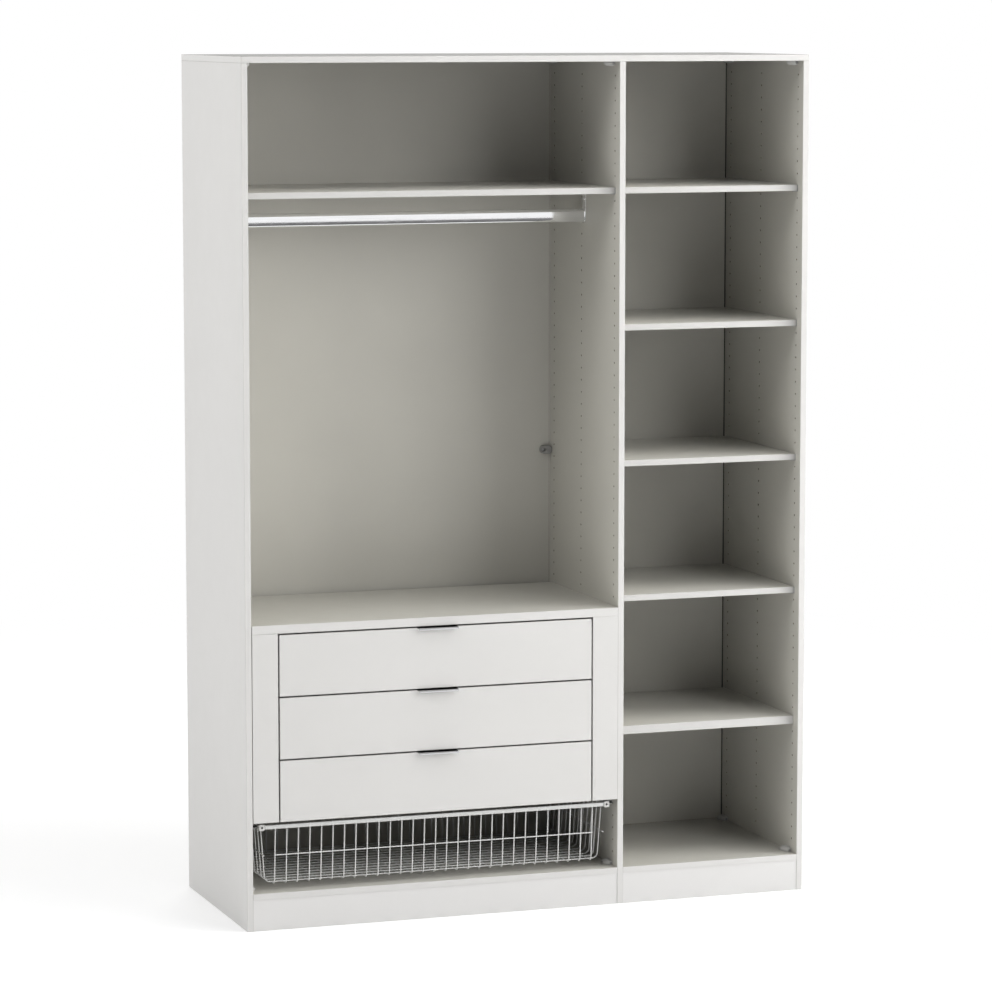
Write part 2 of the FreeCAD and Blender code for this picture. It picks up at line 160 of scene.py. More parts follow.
# Painted light: a warmer copy of the white film for faces inside the bays, tinted as by bounced light.
inner_bounce_film = film("inner_bounce_film", inner_bounce_white, roughness=0.45, grain=1400.0, cloud=0.03)
outer_board = (white_film, edge_band, band_joint)
inner_board = (inner_bounce_film, edge_band, band_joint)


def outward(bm):
    """Turns all faces outward."""
    bmesh.ops.recalc_face_normals(bm, faces=bm.faces)


def piece(name, bm, materials, body, slot, *solids):
    """Object from finished mesh code: rides on its body and stands for its solids, which it hides; the slot
    is not used.
    """
    outward(bm)
    mesh = bpy.data.meshes.new(name)
    bm.to_mesh(mesh)
    bm.free()
    for material in materials:
        mesh.materials.append(material)
    made = bpy.data.objects.new(name, mesh)
    bpy.context.scene.collection.objects.link(made)
    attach(made, body)
    if solids:
        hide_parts(*solids)
    return made


def turned_edges(bm, turn):
    """Edges between faces that turn by more than this angle."""
    return [edge for edge in bm.edges if edge.calc_face_angle(0) > turn]


def ease_edges(bm, edges, width, steps=2):
    """Rounds edges off."""
    bmesh.ops.bevel(bm, geom=edges, offset=width, segments=steps, profile=0.5, affect="EDGES")


def paint_board(bm, thin):
    """Film on the two broad faces, band on the edges, a glue joint along every arris."""
    for face in bm.faces:
        if abs(face.normal[thin]) > square_on:
            face.material_index = film_face
        else:
            along = max(abs(part) for part in face.normal)
            face.material_index = band_face if along > square_on else joint_face


def arc(start, end, steps):
    """Directions (across, up) along an arc from the start angle to the end angle."""
    turns = [start + (end - start) * step / steps for step in range(steps + 1)]
    return [(cos(turn), sin(turn)) for turn in turns]


def circle(sides, start=0.0):
    """Directions (across, up) all the way round."""
    return arc(start, start + 2 * pi, sides)[:-1]


def bridge(bm, rings, smooth=False):
    """Skin of quads from ring to ring."""
    skin = []
    for low, high in zip(rings, rings[1:]):
        skin += [bm.faces.new([low[i - 1], low[i], high[i], high[i - 1]]) for i in range(len(low))]
    for face in skin:
        face.smooth = smooth
    return skin


def drilled_upright(name, node, faces):
    """Upright with its rows of pin holes; faces are the X sides that are drilled, -1 or 1."""
    low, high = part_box(node)
    bm = bmesh.new()
    known = {}

    def spot(x, y, z):
        """Point of the mesh, made once for all the faces that meet there."""
        place = (round(x, 6), round(y, 6), round(z, 6))
        if place not in known:
            known[place] = bm.verts.new(place)
        return known[place]

    def oblong(x, y0, y1, z0, z1):
        return [spot(x, y0, z0), spot(x, y1, z0), spot(x, y1, z1), spot(x, y0, z1)]

    half = hole_pitch / 2
    quarter = hole_sides // 4
    levels = [first_hole + (step - 0.5) * hole_pitch for step in range(hole_count + 1)]
    cuts = sorted(y + way * half for y in hole_columns for way in (-1, 1))
    mouths = []
    for way, x in ((-1, low.x), (1, high.x)):
        if way not in faces:
            bm.faces.new(oblong(x, low.y, high.y, low.z, high.z))
            continue
        ends = [low.y, *cuts, high.y]
        for start, end in zip(ends[::2], ends[1::2]):
            rise = [low.z, *(levels if end != high.y else ()), high.z]
            fall = [low.z, *(levels if start != low.y else ()), high.z]
            bm.faces.new([spot(x, end, z) for z in rise] + [spot(x, start, z) for z in reversed(fall)])
        for y in hole_columns:
            for z0, z1 in ((low.z, levels[0]), (levels[-1], high.z)):
                bm.faces.new(oblong(x, y - half, y + half, z0, z1))
            for z0, z1 in zip(levels, levels[1:]):
                middle = (z0 + z1) / 2
                ring = [
                    spot(x, y + hole_radius * across, middle + hole_radius * up)
                    for across, up in circle(hole_sides, start=-0.75 * pi)
                ]
                corners = oblong(x, y - half, y + half, z0, z1)
                for side in range(4):
                    mouth = [ring[(side * quarter + step) % hole_sides] for step in range(quarter + 1)]
                    bm.faces.new([corners[side], corners[(side + 1) % 4], *reversed(mouth)])
                mouths.append((ring, -way))
    left, right = ([low.y, *(cuts if way in faces else ()), high.y] for way in (-1, 1))
    for z in (low.z, high.z):
        bm.faces.new([spot(low.x, y, z) for y in left] + [spot(high.x, y, z) for y in reversed(right)])
    for y in (low.y, high.y):
        outline = ((low.x, low.z), (high.x, low.z), (high.x, high.z), (low.x, high.z))
        bm.faces.new([spot(x, y, z) for x, z in outline])
    outward(bm)
    ease_edges(bm, turned_edges(bm, arris_turn), arris)
    paint_board(bm, 0)
    for face in bm.faces:
        if face.material_index == film_face and round(face.normal.x) in faces:
            face.material_index = inner_face
    for ring, inward in mouths:
        floor = [bm.verts.new(vert.co + Vector((inward * hole_depth, 0, 0))) for vert in ring]
        for face in [*bridge(bm, (ring, floor)), bm.faces.new(floor)]:
            face.material_index = core_face
    return piece(name, bm, (*outer_board, bare_core, inner_bounce_film), "carcass", "white_board", node)


drilled_upright("left_upright", "left_side_panel", (1,))
drilled_upright("middle_upright", "centre_partition", (-1, 1))
drilled_upright("right_upright", "right_side_panel", (-1,))

# Top, bottoms and plinths: the same banded melamine board, cut square. The top lies over the three
# uprights with its upward face darkened to a painted grey shade, a bottom spans each bay, and the plinth
# strips stand under the bottoms on the floor, pressed to them without an eased edge.
# Painted shade: the top's upward face is a dull grey copy of the film.
top_shade_grey = (0.56, 0.555, 0.54, 1)
# Painted light: the plinths take a lighter copy of the white film.
plinth_lit_white = (0.815, 0.805, 0.79, 1)
top_shade_film = film(
    "top_shade_film", top_shade_grey, roughness=0.75, grain=500.0, cloud=0.04, Specular_IOR_Level=0.1
)
plinth_lit_film = film("plinth_lit_film", plinth_lit_white, roughness=0.42, grain=1400.0, cloud=0.02)
plinth_board = (plinth_lit_film, edge_band, band_joint)


def eased_box(bm, low, high, ease, steps=2, sharp_level=None):
    """Box with eased edges between two corners; edges that lie at the sharp level stay square."""
    middle, size = (low + high) / 2, high - low
    made = bmesh.ops.create_cube(bm, size=1.0, matrix=Matrix.LocRotScale(middle, None, size))["verts"]
    edges = {edge for vert in made for edge in vert.link_edges}
    if sharp_level is not None:
        edges = {edge for edge in edges if any(abs(vert.co.z - sharp_level) > ease for vert in edge.verts)}
    ease_edges(bm, list(edges), ease, steps)


def board(name, node, body="carcass", slot="white_board", materials=outer_board, sharp_level=None):
    """Plain banded board in the place of a solid."""
    low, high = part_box(node)
    size = high - low
    bm = bmesh.new()
    eased_box(bm, low, high, arris, sharp_level=sharp_level)
    paint_board(bm, min(range(3), key=lambda axis: size[axis]))
    return piece(name, bm, materials, body, slot, node)


def face_up(made, material):
    """Gives the upward face of a board a finish of its own."""
    made.data.materials.append(material)
    for face in made.data.polygons:
        if face.normal.z > square_on:
            face.material_index = len(made.data.materials) - 1


face_up(board("top_board", "top_panel"), top_shade_film)
for bay in ("left", "right"):
    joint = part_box(f"{bay}_bottom_panel")[0].z
    board(f"{bay}_bottom_board", f"{bay}_bottom_panel", materials=inner_board, sharp_level=joint)
    board(f"{bay}_plinth_board", f"{bay}_front_plinth", materials=plinth_board, sharp_level=joint)
    board(f"{bay}_rear_plinth_board", f"{bay}_rear_plinth")

# Backs: 8 mm fibreboard sheets with a matt white foil on the room side and a bare brown edge, let in
# between the uprights and held by clips. They are cut a little narrow, so a gap stays at each side.
foil_white = (0.77, 0.75, 0.68, 1)
fibre_brown = (0.34, 0.25, 0.16, 1)
white_foil = film("white_foil", foil_white, roughness=0.55, grain=900.0, cloud=0.04)
fibre_edge = film("fibre_edge", fibre_brown, roughness=0.8, grain=1200.0, cloud=0.3)
back_sheet = (white_foil, fibre_edge, fibre_edge)
for bay in ("left", "right"):
    board(f"{bay}_back_sheet", f"{bay}_back_panel", slot="back_board", materials=back_sheet)

# Gap seals: a strip of foam pressed into the gap at each side of the backs, so that no light comes
# through. It is white and flush at the wide back, whose joint doesn't show. At the narrow back it is
# black and sunk: a painted shade that shows as a thin dark line.
# Painted shade: the black strip stands for the shadow in the gap.
gap_shade_black = (0.012, 0.012, 0.012, 1)
white_foam = film("white_foam", foil_white, roughness=0.7, grain=900.0, cloud=0.08)
gap_shade_foam = film("gap_shade_foam", gap_shade_black, roughness=0.9, grain=900.0, cloud=0.4)
flush_inset, sunk_inset, seal_ease = 0.0001, 0.0015, 0.0002
for bay, foam, inset in (("left", white_foam, flush_inset), ("right", gap_shade_foam, sunk_inset)):
    seals = bmesh.new()
    low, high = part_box(f"{bay}_back_panel")
    start, end = (corner.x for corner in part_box(f"{bay}_bottom_panel"))
    for near, far in ((start, low.x), (high.x, end)):
        front, rear = low.y + inset, high.y - inset
        eased_box(seals, Vector((near, front, low.z)), Vector((far, rear, high.z)), seal_ease)
    piece(f"{bay}_gap_seals", seals, (foam,), "carcass", "back_board")

# Corner connectors and back clips: moulded plastic wedges, white in the corners of the bays and
# round-nosed at the backs, where they are coloured grey. A zinc plated cross-head screw goes into
# the front of each connector, and another into the sunk eye of each clip.
plastic_white = (0.72, 0.715, 0.69, 1)
clip_darkened = (0.31, 0.305, 0.29, 1)
zinc_grey = (0.56, 0.56, 0.57, 1)
handled_scale, handled_shade, sheen_swing = 35.0, 0.95, 0.05
draw_stretch = (0.02, 1.0, 1.0)
smudge_scale, streak_shade = 30.0, 0.93

# Sprayed or moulded skin: a soft orange peel with pinholes and a slightly uneven gloss.
peel_skin, given, out = effect("peel_skin", Colour=plastic_white, Roughness=0.4, Peel=600.0)
place = add(peel_skin, "TexCoord").outputs["Object"]
peel = noise(peel_skin, place, given["Peel"], detail=2.0)
pits = add(peel_skin, "TexVoronoi", {"Vector": place, "Scale": given["Peel"]}, feature="SMOOTH_F1")
handled = noise(peel_skin, place, handled_scale, detail=4.0)
toned = shaded(peel_skin, given["Colour"], ranged(peel_skin, handled, handled_shade, 1.0))
sheen = ranged(peel_skin, handled, sheen_swing, -sheen_swing)
sheen = combine(peel_skin, "ADD", sheen, given["Roughness"])
put_out(peel_skin, out, toned, sheen, combine(peel_skin, "ADD", peel, pits.outputs["Distance"]))

# Plated metal: fine drawn streaks along the piece, and smudges that dull the shine in places.
drawn_metal, given, out = effect("drawn_metal", Colour=zinc_grey, Roughness=0.3, Streak=300.0, Smudge=0.08)
place = add(drawn_metal, "TexCoord").outputs["Object"]
stretched = add(drawn_metal, "Mapping", {"Vector": place, "Scale": draw_stretch}).outputs[0]
streaks = noise(drawn_metal, stretched, given["Streak"], detail=3.0)
smudges = noise(drawn_metal, place, smudge_scale, detail=4.0)
plated = shaded(drawn_metal, given["Colour"], ranged(drawn_metal, streaks, streak_shade, 1.0))
dull = ranged(drawn_metal, smudges, 0.0, given["Smudge"], start=0.45, end=0.75)
dull = combine(drawn_metal, "ADD", dull, given["Roughness"])
put_out(drawn_metal, out, plated, dull, streaks)


def coating(name, colour, roughness, peel, bump):
    """Finish of moulded plastic or of sprayed steel."""
    return finish(name, peel_skin, {"Colour": colour, "Roughness": roughness, "Peel": peel}, bump=bump)


def plating(name, colour, roughness, streak, smudge, **relief):
    """Finish of bare or plated metal."""
    values = {"Colour": colour, "Roughness": roughness, "Streak": streak, "Smudge": smudge}
    return finish(name, drawn_metal, values, Metallic=1.0, **relief)


white_moulding = coating("white_moulding", plastic_white, roughness=0.38, peel=1500.0, bump=0.00005)
darkened_clip_moulding = coating("darkened_clip_moulding", clip_darkened, roughness=0.42, peel=1500.0, bump=0.00005)
zinc_plate = plating("zinc_plate", zinc_grey, roughness=0.32, streak=900.0, smudge=0.15, bump=0.00003)

head_sides = 24
head_profile = ((1, 0), (1, 0.45), (0.9, 0.8), (0.68, 1))
cross_arm, cross_slot, cross_depth = 0.5, 0.14, 0.7


def screw(bm, seat, out, radius, height):
    """Pan-head screw with a cross recess, standing on its seat and pointing along out."""
    side = out.orthogonal().normalized()
    other = out.cross(side)

    def point(across, up, rise):
        return bm.verts.new(seat + out * rise + side * across + other * up)

    rings = []
    for wide, rise in head_profile:
        reach = radius * wide
        rings.append([point(reach * c, reach * s, height * rise) for c, s in circle(head_sides)])
    bridge(bm, rings, smooth=True)
    arm, slot = radius * cross_arm, radius * cross_slot
    quarter = ((arm, slot), (slot, slot), (slot, arm))
    turns = ((1, 0), (0, 1), (-1, 0), (0, -1))
    mouth = [point(x * c - y * s, x * s + y * c, height) for c, s in turns for x, y in quarter]
    floor = [bm.verts.new(vert.co - out * (height * cross_depth)) for vert in mouth]
    rim = rings[-1]
    for i in range(len(mouth)):
        bm.faces.new([mouth[i - 1], rim[2 * i - 1], rim[2 * i], rim[2 * i + 1], mouth[i]])
    bridge(bm, (mouth, floor))
    bm.faces.new(floor)


def closed_skin(bm, rings, smooth=False):
    """Skin from ring to ring with a flat face at each end."""
    bridge(bm, rings, smooth)
    return bm.faces.new(rings[0]), bm.faces.new(rings[-1])


connector_front = ((0, 0), (0.010, 0), (0.010, 0.006), (0.006, 0.010), (0, 0.010))
connector_full = ((0, 0), (0.020, 0), (0.020, 0.005), (0.012, 0.012), (0, 0.012))
connector_ramp, connector_length = 0.018, 0.034
connector_eye = 0.005
connector_ease, connector_turn = 0.0008, 0.3
connector_screw = {"radius": 0.0032, "height": 0.0014}
connector_rows = (-0.244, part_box("corner_connectors")[1].y - connector_length)


def connector(bm, corner, way, up):
    """Moulded wedge in a corner of a bay, which swells from its screwed front to its full section."""
    stages = ((connector_front, 0), (connector_full, connector_ramp), (connector_full, connector_length))
    closed_skin(bm, [
        [bm.verts.new(corner + Vector((way * x, depth, up * z))) for x, z in section]
        for section, depth in stages
    ])


clip_width, clip_half, clip_reach, clip_tip = 0.031, 0.0115, 0.019, 0.008
clip_nose, clip_heel, clip_ease = 0.011, 0.009, 0.003
corner_steps, ease_steps, edge_step = 7, 4, 0.003
clip_eye, clip_mouth, clip_bore, clip_sunk, clip_floor = 0.022, 0.0064, 0.005, 0.0012, 0.003
clip_screw = {"radius": 0.0042, "height": 0.003}
clip_shelf_gap = 0.015
clip_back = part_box("back_panel_clips")[1].y
moulding_crease = 0.6


def back_clip(bm, wall, way, level):
    """Moulded clip between an upright and a back: a round-nosed wedge with a sunk eye for its screw."""
    outline = []
    for across, up, corner, turn in (
        (clip_width - clip_nose, clip_half - clip_nose, clip_nose, 0),
        (clip_heel, clip_half - clip_heel, clip_heel, 1),
        (clip_heel, clip_heel - clip_half, clip_heel, 2),
        (clip_width - clip_nose, clip_nose - clip_half, clip_nose, 3),
    ):
        bend = arc(pi / 2 * turn, pi / 2 * (turn + 1), corner_steps)
        outline += [Vector((across + corner * c, up + corner * s)) for c, s in bend]
    edge = []
    for start, end in zip(outline, outline[1:] + outline[:1]):
        parts = max(1, round((end - start).length / edge_step))
        edge += [start.lerp(end, step / parts) for step in range(parts)]
    eye = Vector((clip_eye, 0))
    rays = [(point - eye).normalized() for point in edge]

    def ring(places, sink):
        """Ring of points on the sloping front, sunk into it; without a sink, on the back."""
        made = []
        for place in places:
            slope = min(1, max(0, (place.x - clip_tip) / (clip_width - clip_tip)))
            rise = 0 if sink is None else clip_reach + (clip_tip - clip_reach) * slope - sink
            made.append(bm.verts.new((wall + way * place.x, clip_back - rise, level + place.y)))
        return made

    rings = [ring(edge, None)]
    for across, up in arc(0, pi / 2, ease_steps):
        inset = [point - ray * (clip_ease * (1 - across)) for point, ray in zip(edge, rays)]
        rings.append(ring(inset, clip_ease * (1 - up)))
    rings.append(ring([eye + ray * clip_mouth for ray in rays], 0))
    rings.append(ring([eye + ray * clip_bore for ray in rays], clip_sunk))
    rings.append([bm.verts.new((vert.co.x, clip_back - clip_floor, vert.co.z)) for vert in rings[-1]])
    closed_skin(bm, rings, smooth=True)


def crisp(bm, turn):
    """Keeps edges that turn by this angle or more crisp under smooth shading."""
    for edge in bm.edges:
        edge.smooth = edge.calc_face_angle(0) < turn


forward = Vector((0, -1, 0))
top_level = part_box("top_panel")[0].z
blocks, clips, screws = bmesh.new(), bmesh.new(), bmesh.new()
for bay in ("left", "right"):
    low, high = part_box(f"{bay}_bottom_panel")
    under_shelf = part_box("shelf_3")[0].z - clip_shelf_gap
    clip_level = (high.z + top_level) / 2 if bay == "left" else under_shelf
    for x, way in ((low.x, 1), (high.x, -1)):
        for z, up in ((high.z, 1), (top_level, -1)):
            for y in connector_rows:
                corner = Vector((x, y, z))
                connector(blocks, corner, way, up)
                seat = corner + connector_eye * Vector((way, 0, up))
                screw(screws, seat, forward, **connector_screw)
        back_clip(clips, x, way, clip_level)
        seat = Vector((x + way * clip_eye, clip_back - clip_floor, clip_level))
        screw(screws, seat, forward, **clip_screw)
outward(blocks)
ease_edges(blocks, turned_edges(blocks, connector_turn), connector_ease)
piece("connector_blocks", blocks, (white_moulding,), "carcass", "white_plastic", "corner_connectors")
outward(clips)
crisp(clips, moulding_crease)
piece("back_clips", clips, (darkened_clip_moulding,), "carcass", "white_plastic", "back_panel_clips")
piece("fitting_screws", screws, (zinc_plate,), "carcass", "zinc_steel")

# Shelves: banded melamine boards. The hat shelf and the four narrow shelves lie on bent zinc angles
# whose pins sit in the hole rows; the thicker fixed shelf is screwed between partition and side.
# Painted shade: the shelves' front bands take a darker copy of the band colour.
shelf_band_shade_white = (0.69, 0.682, 0.66, 1)
# Painted light: the shelves' upward faces take a lighter copy of the inner film.
shelf_top_lit_white = (0.86, 0.84, 0.765, 1)
shelf_top_lit_film = film("shelf_top_lit_film", shelf_top_lit_white, roughness=0.45, grain=1400.0, cloud=0.03)
shaded_shelf_band = film("shaded_shelf_band", shelf_band_shade_white, roughness=0.38, grain=700.0, cloud=0.03)
support_ease = 0.0003
weld_reach, dressed_turn = 0.00001, radians(40)


def dress(node, material, ease):
    """Solid whose shape is right: welded, its edges eased, in its own finish."""
    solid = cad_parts[node]
    solid.data.materials.clear()
    solid.data.materials.append(material)
    solid.modifiers.new("weld", "WELD").merge_threshold = weld_reach
    eased = solid.modifiers.new("eased edges", "BEVEL")
    eased.width, eased.segments, eased.limit_method, eased.angle_limit = ease, 2, "ANGLE", dressed_turn


for shelf in ("hat_shelf", "shelf_1", "shelf_2", "shelf_3", "shelf_4", "fixed_shelf"):
    face_up(board(f"{shelf}_board", shelf, materials=(inner_bounce_film, shaded_shelf_band, band_joint)), shelf_top_lit_film)
dress("shelf_supports", zinc_plate, support_ease)

# Clothes rail: a chromed oval steel tube cut to length and pushed over the plugs of two chromed end
# brackets. Each bracket is a stamped plate with a tab up to the shelf, screwed to the upright.
chrome_grey = (0.93, 0.935, 0.945, 1)
chrome = plating(
    "chrome", chrome_grey, roughness=0.07, streak=500.0, smudge=0.06, bump=0.00001, strength=0.1
)
rail_low, rail_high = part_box("clothes_rail")
rail_middle = (rail_low + rail_high) / 2
rail_wall, rail_steps, rail_crease = 0.0015, 16, 0.9


def oval_ring(bm, x, grow):
    """Upright oval about the rail's line, larger than the rail by grow all round."""
    size = rail_high - rail_low
    radius = size.y / 2 + grow
    straight = (size.z - size.y) / 2
    ring = []
    for turn, rise in ((0, straight), (pi, -straight)):
        for across, up in arc(turn, turn + pi, rail_steps):
            level = rail_middle.z + rise + radius * up
            ring.append(bm.verts.new((x, rail_middle.y + radius * across, level)))
    return ring


tube = bmesh.new()
hollow = ((rail_low.x, 0), (rail_high.x, 0), (rail_high.x, -rail_wall), (rail_low.x, -rail_wall))
rings = [oval_ring(tube, x, grow) for x, grow in hollow]
bridge(tube, [*rings, rings[0]], smooth=True)
outward(tube)
crisp(tube, rail_crease)
piece("rail_tube", tube, (chrome,), "carcass", "chrome_tube", "clothes_rail")

bracket_low, bracket_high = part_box("rail_brackets")
bracket_sheet = rail_low.x - bracket_low.x
bracket_corner, bracket_ease = 0.003, 0.0004
bracket_screw = {"radius": 0.0032, "height": 0.0012}
screw_side, screw_rise = 0.006, 0.002
plug_play, plug_depth = 0.0018, 0.014
tab_half = (bracket_high.y - bracket_low.y) / 2
tab_overhang = 0.001
plate_radius = tab_half - tab_overhang
plate_level = bracket_low.z + plate_radius
plate_steps, tab_steps = 20, 5
outline = [(plate_radius * c, plate_level + plate_radius * s) for c, s in arc(pi, 2 * pi, plate_steps)]
outline.append((tab_half, rail_middle.z))
for way, turn in ((1, 0), (-1, pi / 2)):
    y, z = way * (tab_half - bracket_corner), bracket_high.z - bracket_corner
    bend = arc(turn, turn + pi / 2, tab_steps)
    outline += [(y + bracket_corner * c, z + bracket_corner * s) for c, s in bend]
outline.append((-tab_half, rail_middle.z))
brackets = bmesh.new()
plates = [(wall, wall + way * bracket_sheet, way) for wall, way in ((bracket_low.x, 1), (bracket_high.x, -1))]
for wall, inner, way in plates:
    closed_skin(brackets, [
        [brackets.verts.new((x, rail_middle.y + y, z)) for y, z in outline] for x in (wall, inner)
    ])
outward(brackets)
ease_edges(brackets, turned_edges(brackets, arris_turn), bracket_ease)
for wall, inner, way in plates:
    plug = [oval_ring(brackets, x, -plug_play) for x in (inner, inner + way * plug_depth)]
    closed_skin(brackets, plug, smooth=True)
outward(brackets)
crisp(brackets, rail_crease)
for wall, inner, way in plates:
    for side in (-screw_side, screw_side):
        level = (rail_high.z + bracket_high.z) / 2 + screw_rise
        seat = Vector((inner, rail_middle.y + side, level))
        screw(brackets, seat, Vector((way, 0, 0)), **bracket_screw)
piece("rail_bracket_pair", brackets, (chrome,), "carcass", "chrome_tube", "rail_brackets")

# Drawer insert: a heavy 22 mm top on two hanging sides, tied by a rear rail and packed out with
# spacer blocks; banded filler strips close the front beside the drawers.
spacer_ease = 0.0005
for part in ("insert_top", "insert_left_side", "insert_right_side", "insert_rear_rail"):
    board(f"{part}_board", part, materials=inner_board)
for part in ("left_filler", "right_filler"):
    board(f"{part}_board", part)
dress("insert_spacers", bare_core, spacer_ease)

# Drawers: three melamine boxes with a grooved-in bottom behind a banded front, whose top edge is
# notched for the pull. They run on white epoxy-coated steel slides, half of each on the drawer and
# half on the insert.
steel_white = (0.70, 0.70, 0.685, 1)
white_epoxy = coating("white_epoxy", steel_white, roughness=0.3, peel=900.0, bump=0.00006)
slide_ease = 0.0004
pull_sheet = 0.002
notch_play = 0.0003
for number in (1, 2, 3):
    drawer = f"drawer_{number}"
    low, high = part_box(f"{drawer}_front")
    left, right = (corner.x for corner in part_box(f"{drawer}_handle"))
    left, right, notch = left - notch_play, right + notch_play, high.z - pull_sheet
    outline = [(low.x, low.z), (high.x, low.z), (high.x, high.z), (right, high.z),
               (right, notch), (left, notch), (left, high.z), (low.x, high.z)]
    front = bmesh.new()
    closed_skin(front, [[front.verts.new((x, y, z)) for x, z in outline] for y in (low.y, high.y)])
    outward(front)
    ease_edges(front, list(front.edges), arris)
    paint_board(front, 1)
    piece(f"{drawer}_front_board", front, outer_board, drawer, "drawer_board", f"{drawer}_front")
    for part in ("left_side", "right_side", "back", "bottom"):
        board(f"{drawer}_{part}_board", f"{drawer}_{part}", drawer, "drawer_board", inner_board)
    dress(f"{drawer}_slides", white_epoxy, slide_ease)
dress("drawer_slide_channels", white_epoxy, slide_ease)

# Edge pulls: a strip of polished steel let flush into the top edge of each drawer front, with a short
# lip to pull on and a tail screwed behind the front.
pull_grey = (0.60, 0.60, 0.61, 1)
pull_steel = plating(
    "pull_steel", pull_grey, roughness=0.1, streak=700.0, smudge=0.08, bump=0.00001, strength=0.1
)
pull_bend, pull_bend_steps = 0.0016, 5
pull_lip, pull_ease, pull_crease = 0.0055, 0.0003, 0.6
for number in (1, 2, 3):
    drawer = f"drawer_{number}"
    low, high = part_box(f"{drawer}_handle")
    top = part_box(f"{drawer}_front")[1].z
    outer, inner = [(low.y, top - pull_lip)], [(low.y + pull_sheet, top - pull_lip)]
    for y, way in ((low.y, 1), (high.y, -1)):
        bend = arc(0, pi / 2, pull_bend_steps)[::way]
        outer += [(y + way * pull_bend * (1 - c), top - pull_bend * (1 - s)) for c, s in bend]
        inner.append((y + way * pull_sheet, top - pull_sheet))
    outer.append((high.y, low.z))
    inner.append((high.y - pull_sheet, low.z))
    outline = outer + inner[::-1]
    pull = bmesh.new()
    closed_skin(pull, [[pull.verts.new((x, y, z)) for y, z in outline] for x in (low.x, high.x)], smooth=True)
    outward(pull)
    ease_edges(pull, turned_edges(pull, arris_turn), pull_ease)
    crisp(pull, pull_crease)
    piece(f"{drawer}_pull", pull, (pull_steel,), drawer, "polished_metal", f"{drawer}_handle")

# Wire basket: steel wire of about 3 mm bent into leaning walls over a mesh floor, spot welded to a
# flat front bar and round rims and powder coated white. A plastic cap closes each end of the bar, and
# the basket hangs by its side rims in two runner channels.
powder_white = (0.76, 0.76, 0.745, 1)
white_powder = coating("white_powder", powder_white, roughness=0.33, peel=700.0, bump=0.00008)
wire_radius, wire_sides, wire_pitch = 0.0016, 12, 0.0306
rim_radius, rim_drop = 0.003, 0.005
wall_lean, wire_rise = 0.011, 0.0015
long_bend, cross_bend, bend_steps = 0.015, 0.008, 6
weld_depth, weld_bead = 0.0005, 0.0015
column_count, row_count = 29, 13
floor_lap = 0.001
bar_depth, bar_height, bar_ease = 0.005, 0.01, 0.001
bar_slit, core_inset = 0.001, 0.0014
cap_width = 0.015
runner_ease = 0.0003
bar_low, bar_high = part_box("basket_front_panel")
cap_low, cap_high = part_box("basket_end_caps")
floor_low, floor_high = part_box("basket_floor_wires")
bar_back = bar_low.y + bar_depth
rim_level = bar_high.z - rim_drop
wire_top = rim_level + wire_rise
cross_level = floor_low.z + wire_radius
long_level = cross_level + 2 * wire_radius - weld_depth
middle_x, middle_y = (floor_low.x + floor_high.x) / 2, (floor_low.y + floor_high.y) / 2
columns = [middle_x + (step - (column_count - 1) / 2) * wire_pitch for step in range(column_count)]
wire_rows = [middle_y + (step - (row_count - 1) / 2) * wire_pitch for step in range(row_count)]
side_rim = cap_low.x + cap_width / 2
back_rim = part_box("basket_back_panel")[1].y - rim_radius
front_top = bar_back + wire_radius - weld_depth
back_top = back_rim - rim_radius - wire_radius + weld_depth
side_top = side_rim + rim_radius + wire_radius - weld_depth
mid_level = (wire_top + cross_level) / 2
mid_front = front_top + wall_lean / 2 - 2 * wire_radius + weld_depth
side_slope = (wire_top - mid_level) / (wire_top - long_level)
mid_side = side_top + wall_lean * side_slope - 2 * wire_radius + weld_depth


def bent(start, corner, end, bend):
    """Route of a wire from start round a corner towards end, as far as the end of the bend."""
    fall, along = (corner - start).normalized(), (end - corner).normalized()
    turn = fall.angle(along)
    inward = (along - fall * fall.dot(along)).normalized()
    base = corner - fall * (bend * tan(turn / 2))
    round_bend = arc(0, turn, bend_steps)
    return [start] + [base + fall * (bend * s) + inward * (bend * (1 - c)) for c, s in round_bend]


def wire(bm, route, radius=wire_radius):
    """Round wire along a route that lies in one plane."""
    least_bend = 0.001
    ways = [(end - start).normalized() for start, end in zip(route, route[1:])]
    side = ways[0].cross(ways[-1])
    side = side.normalized() if side.length > least_bend else ways[0].orthogonal().normalized()
    rings = []
    for point, before, after in zip(route, ways[:1] + ways, ways + ways[-1:]):
        up = side.cross((before + after).normalized())
        rings.append([
            bm.verts.new(point + side * (radius * c) + up * (radius * s)) for c, s in circle(wire_sides)
        ])
    for end in closed_skin(bm, rings, smooth=True):
        for edge in end.edges:
            edge.smooth = False


def wall_wires(bm, top, lean):
    """Wires down the front or the back wall, each bent round into the floor."""
    for x in columns:
        start, corner = Vector((x, top, wire_top)), Vector((x, top + lean, cross_level))
        wire(bm, bent(start, corner, Vector((x, middle_y, cross_level)), cross_bend))


def nugget(bm, x, y, z):
    """Small bead of a spot weld."""
    place = Matrix.Translation((x, y, z))
    made = bmesh.ops.create_icosphere(bm, subdivisions=1, radius=weld_bead, matrix=place)
    for vert in made["verts"]:
        for face in vert.link_faces:
            face.smooth = True


